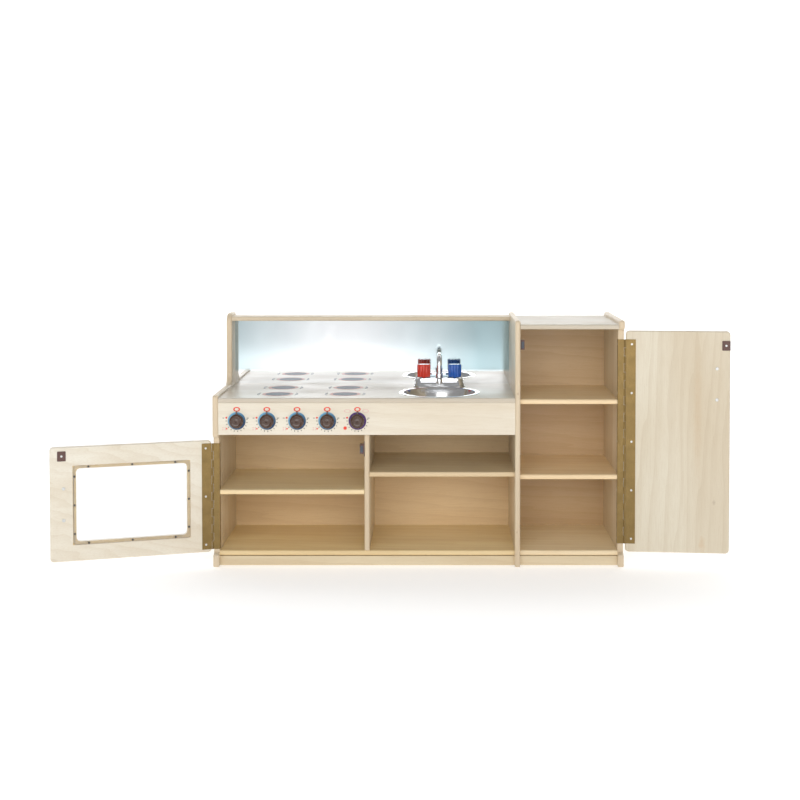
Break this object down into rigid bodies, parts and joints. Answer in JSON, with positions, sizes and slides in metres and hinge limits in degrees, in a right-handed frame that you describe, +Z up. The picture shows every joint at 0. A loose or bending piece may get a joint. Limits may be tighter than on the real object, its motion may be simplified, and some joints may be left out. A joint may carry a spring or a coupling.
{
  "type": "toy kitchen",
  "caption": "Free-standing wooden play kitchen: stove and sink unit with an oven door, knobs, faucet and mirror, joined to a tall refrigerator with shelves and a door.",
  "frame": {"origin": "on the floor, under the middle of the left end panel's front foot glide", "axes": "+X to the right seen from the front, +Y to the back, +Z up; both doors open at rest"},
  "size_m": [2.0677, 0.4961, 0.767],
  "materials": {
    "maple": "clear satin lacquer over maple plywood boards",
    "maple_ply": "thin plywood, clear lacquer",
    "dowel_beech": "plain turned pegs",
    "steel_screws": "zinc plated",
    "brass_hinge": "dull brass plate",
    "dark_screws": "black oxide",
    "strike_brown": "brown",
    "magnet": "blue-grey ferrite",
    "mirror_sheet": "silvered acrylic",
    "burner_print": "screen print",
    "dial_print": "screen print",
    "steel_bowl": "polished stainless steel",
    "faucet_chrome": "polished",
    "white_nylon": "natural",
    "glide_grey": "hard plastic",
    "clear_acrylic": "clear sheet",
    "satin_nickel": "satin nickel",
    "knob_brown": "moulded",
    "red_acrylic": "tinted clear",
    "blue_acrylic": "tinted clear"
  },
  "bodies": {
    "cabinet": {"left_end_panel": "maple", "right_end_panel": "maple", "tall_divider": "maple", "oven_divider": "maple", "stove_bottom_shelf": "maple", "fridge_bottom_shelf": "maple", "oven_shelf": "maple", "cupboard_shelf": "maple", "fridge_upper_shelf": "maple", "fridge_lower_shelf": "maple", "fridge_top_board": "maple", "mirror_top_shelf": "maple", "worktop": "maple", "control_panel": "maple", "stove_toe_kick": "maple", "fridge_toe_kick": "maple", "stove_back_panel": "maple_ply", "fridge_back_panel": "maple_ply", "back_panel_screws": "steel_screws", "joint_dowels": "dowel_beech", "mirror": "mirror_sheet", "burner_prints": "burner_print", "dial_prints": "dial_print", "sink_bowl": "steel_bowl", "sink_clips": "steel_screws", "faucet_base": "faucet_chrome", "faucet_nuts": "steel_screws", "catch_housings": "strike_brown", "catch_magnets": "magnet", "catch_screws": "steel_screws", "oven_hinge_cabinet_leaf": "brass_hinge", "oven_hinge_pin": "brass_hinge", "fridge_hinge_cabinet_leaf": "brass_hinge", "fridge_hinge_pin": "brass_hinge", "hinge_cabinet_screws": "steel_screws", "knob_bushings": "white_nylon", "foot_glides": "glide_grey"},
    "oven_door": {"oven_door_board": "maple", "oven_window": "clear_acrylic", "oven_window_screws": "dark_screws", "oven_pull_handle": "satin_nickel", "oven_pull_bolts": "steel_screws", "oven_strike_plate": "strike_brown", "oven_hinge_door_leaf": "brass_hinge", "oven_door_screws": "steel_screws"},
    "fridge_door": {"fridge_door_board": "maple", "fridge_pull_handle": "satin_nickel", "fridge_pull_bolts": "steel_screws", "fridge_strike_plate": "strike_brown", "fridge_hinge_door_leaf": "brass_hinge", "fridge_door_screws": "steel_screws"},
    "knob_1": {"knob_1": "knob_brown"},
    "knob_2": {"knob_2": "knob_brown"},
    "knob_3": {"knob_3": "knob_brown"},
    "knob_4": {"knob_4": "knob_brown"},
    "knob_5": {"knob_5": "knob_brown"},
    "hot_handle": {"hot_handle": "red_acrylic"},
    "cold_handle": {"cold_handle": "blue_acrylic"},
    "faucet_spout": {"faucet_spout": "faucet_chrome"}
  },
  "joints": [
    {"name": "oven_door_hinge", "type": "hinge", "parent": "cabinet", "child": "oven_door", "pos_m": [-0.012, -0.0055, 0], "axis": [0, 0, 1], "range_deg": [-26.5, 163.5]},
    {"name": "fridge_door_hinge", "type": "hinge", "parent": "cabinet", "child": "fridge_door", "pos_m": [1.264, -0.0055, 0], "axis": [0, 0, 1], "range_deg": [-175, 15]},
    {"name": "knob_1_turn", "type": "hinge", "parent": "cabinet", "child": "knob_1", "pos_m": [0.066, -0.026, 0.457], "axis": [0, 1, 0], "continuous": true},
    {"name": "knob_2_turn", "type": "hinge", "parent": "cabinet", "child": "knob_2", "pos_m": [0.159, -0.026, 0.457], "axis": [0, 1, 0], "continuous": true},
    {"name": "knob_3_turn", "type": "hinge", "parent": "cabinet", "child": "knob_3", "pos_m": [0.252, -0.026, 0.457], "axis": [0, 1, 0], "continuous": true},
    {"name": "knob_4_turn", "type": "hinge", "parent": "cabinet", "child": "knob_4", "pos_m": [0.345, -0.026, 0.457], "axis": [0, 1, 0], "continuous": true},
    {"name": "knob_5_turn", "type": "hinge", "parent": "cabinet", "child": "knob_5", "pos_m": [0.438, -0.026, 0.457], "axis": [0, 1, 0], "continuous": true},
    {"name": "hot_handle_turn", "type": "hinge", "parent": "cabinet", "child": "hot_handle", "pos_m": [0.6402, 0.264, 0.56], "axis": [0, 0, 1], "continuous": true},
    {"name": "cold_handle_turn", "type": "hinge", "parent": "cabinet", "child": "cold_handle", "pos_m": [0.7418, 0.264, 0.56], "axis": [0, 0, 1], "continuous": true},
    {"name": "spout_swivel", "type": "hinge", "parent": "cabinet", "child": "faucet_spout", "pos_m": [0.691, 0.264, 0.565], "axis": [0, 0, 1], "range_deg": [-80, 80]}
  ]
}
